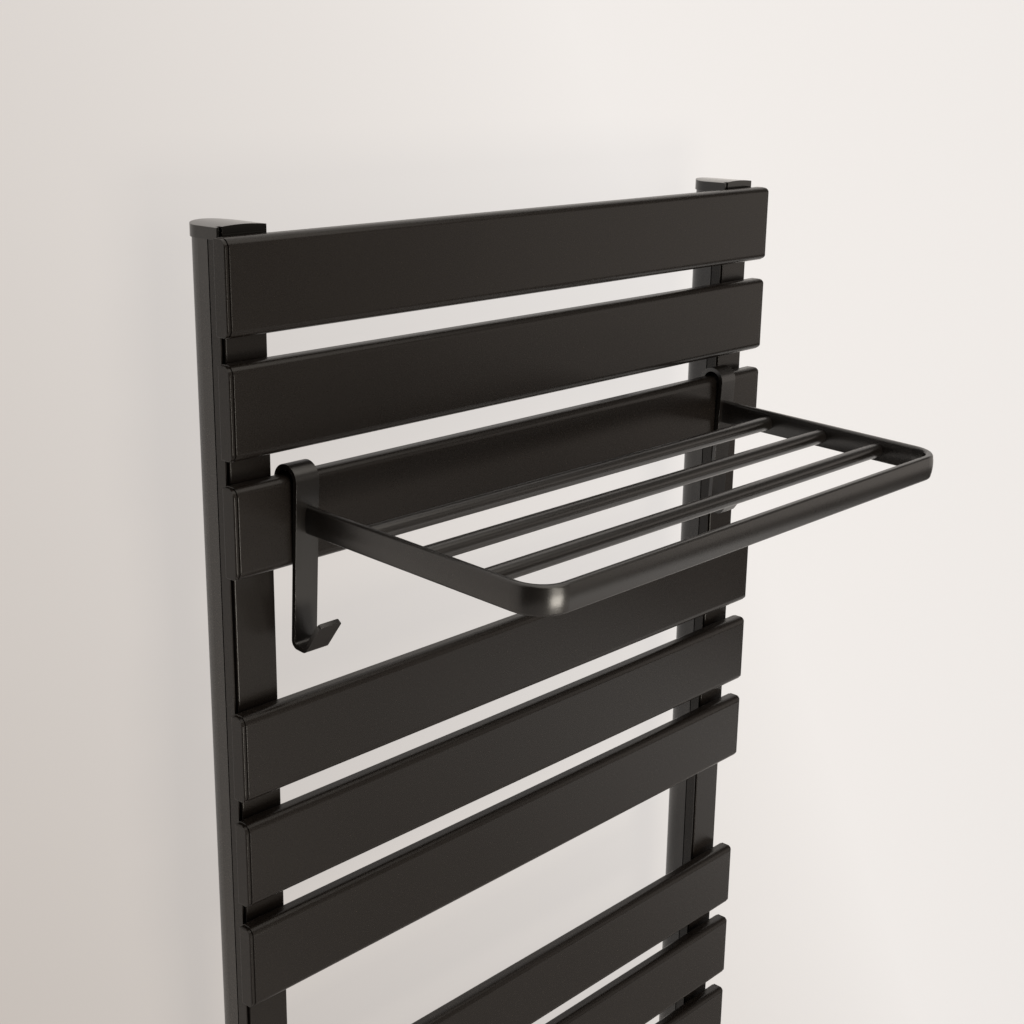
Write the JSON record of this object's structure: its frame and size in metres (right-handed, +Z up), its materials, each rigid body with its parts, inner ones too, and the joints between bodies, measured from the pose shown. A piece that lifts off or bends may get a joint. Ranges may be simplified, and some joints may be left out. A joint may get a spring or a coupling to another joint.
{
  "type": "towel warmer rack",
  "caption": "Wall-hung towel radiator: flat horizontal panels on two upright manifolds, with a hang-on towel rack.",
  "frame": {"origin": "centre of the four wall screw holes, on the wall plane", "axes": "+Z up, -Y out from the wall towards the front, +X to the right as seen from the front"},
  "size_m": [0.6, 0.315, 1.2092],
  "materials": {
    "panel_coat": "satin powder coat, fine texture, dark brownish black",
    "cover_coat": "satin powder coat",
    "rack_coat": "satin powder coat",
    "cap_plastic": "glossy moulded plastic, dark",
    "brass": "turned",
    "plated_steel": "zinc plated, dull",
    "seal_rubber": "matte"
  },
  "bodies": {
    "radiator": {"left_upright": "panel_coat", "right_upright": "panel_coat", "panel_01": "panel_coat", "panel_02": "panel_coat", "panel_03": "panel_coat", "panel_04": "panel_coat", "panel_05": "panel_coat", "panel_06": "panel_coat", "panel_07": "panel_coat", "panel_08": "panel_coat", "panel_09": "panel_coat", "panel_10": "panel_coat", "panel_11": "panel_coat", "panel_12": "panel_coat", "left_end_plates": "panel_coat", "right_end_plates": "panel_coat", "bracket_bosses": "panel_coat", "left_rear_cover": "cover_coat", "right_rear_cover": "cover_coat", "left_top_cap": "cap_plastic", "right_top_cap": "cap_plastic", "left_bottom_cap": "cap_plastic", "right_bottom_cap": "cap_plastic", "wall_sockets": "cap_plastic", "left_top_plug": "brass", "right_top_plug": "brass", "left_pipe_port": "brass", "right_pipe_port": "brass", "bleed_valve_body": "brass", "left_nipples": "plated_steel", "right_nipples": "plated_steel", "bracket_stems": "plated_steel", "socket_screws": "plated_steel", "left_gaskets": "seal_rubber", "right_gaskets": "seal_rubber", "plug_rings": "seal_rubber"},
    "towel_rack": {"left_hook": "rack_coat", "right_hook": "rack_coat", "rack_frame": "rack_coat", "rear_rod": "rack_coat", "middle_rod": "rack_coat", "front_rod": "rack_coat", "hook_screws": "plated_steel"},
    "bleed_screw": {"bleed_screw": "plated_steel"}
  },
  "joints": [
    {"name": "rack_tilt", "type": "hinge", "parent": "radiator", "child": "towel_rack", "pos_m": [0, -0.08981, 0.433], "axis": [-1, 0, 0], "range_deg": [0, 4]},
    {"name": "bleed_screw_turn", "type": "hinge", "parent": "radiator", "child": "bleed_screw", "pos_m": [0.274, -0.0425, 0.57], "axis": [0, 1, 0], "range_deg": [0, 360]}
  ]
}
